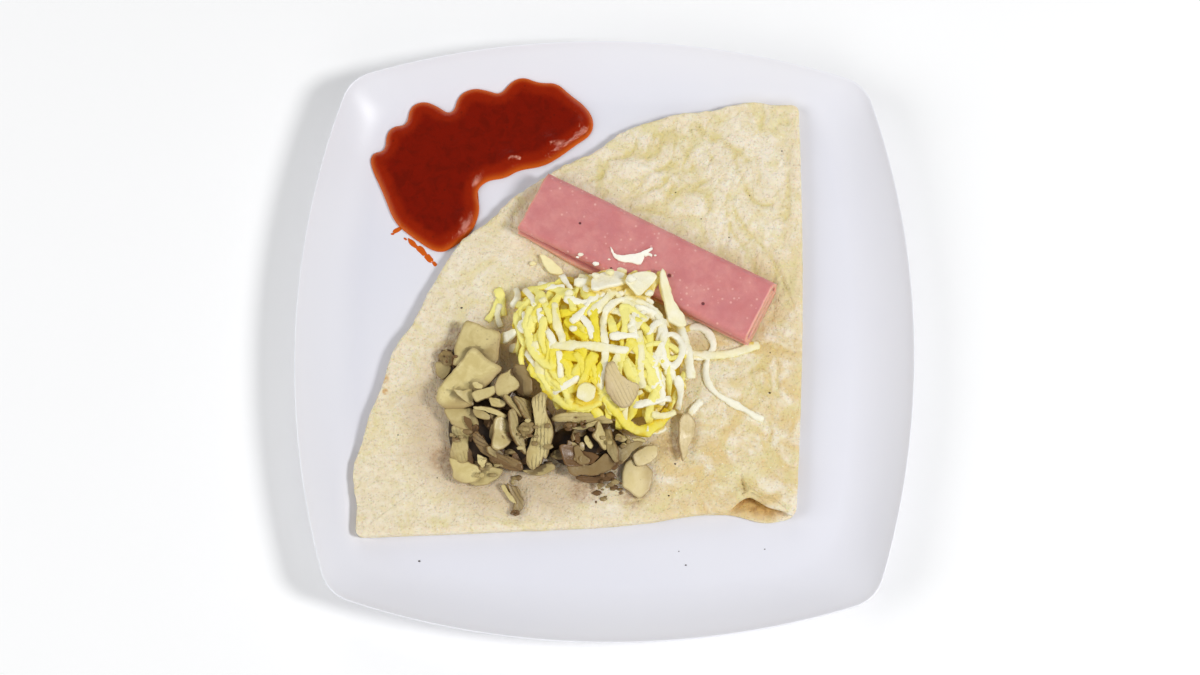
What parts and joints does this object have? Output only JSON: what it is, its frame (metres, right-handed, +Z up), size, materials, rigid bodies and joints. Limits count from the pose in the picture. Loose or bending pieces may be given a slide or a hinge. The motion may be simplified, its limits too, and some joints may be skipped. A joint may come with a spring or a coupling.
{
  "type": "savory crepe",
  "caption": "Folded savory crepe on a square coupe plate, with rolled ham, grated cheese, sliced mushrooms and a puddle of tomato sauce.",
  "frame": {"origin": "middle of the plate's foot ring, at table height", "axes": "+Z up, +X to the right and +Y away from the person who eats, with the crepe's point at the front right"},
  "size_m": [0.26, 0.26, 0.0332],
  "materials": {
    "white_glaze": "glossy white glaze",
    "crepe_pale": "matte, pale golden, lightly speckled",
    "cooked_ham": "satin, pink with pale fat dots",
    "cheese_yellow": "satin, waxy yellow and white strands",
    "mushroom_flesh": "satin, moist, beige with brown gills",
    "tomato_sauce": "glossy wet red",
    "mushroom_pale": "satin, moist, pale",
    "mushroom_stray": "satin, moist, pinkish beige",
    "cheese_white": "matte, white"
  },
  "bodies": {
    "root": {"plate": "white_glaze", "crepe": "crepe_pale", "ham": "cooked_ham", "cheese": "cheese_yellow", "mushrooms": "mushroom_flesh", "sauce": "tomato_sauce", "mushroom_round": "mushroom_pale", "mushroom_sliver": "mushroom_pale", "mushroom_front": "mushroom_pale", "mushroom_chip": "mushroom_pale", "mushroom_on_cheese": "mushroom_stray", "cheese_flake": "cheese_white", "cheese_grain": "cheese_white"}
  },
  "joints": []
}
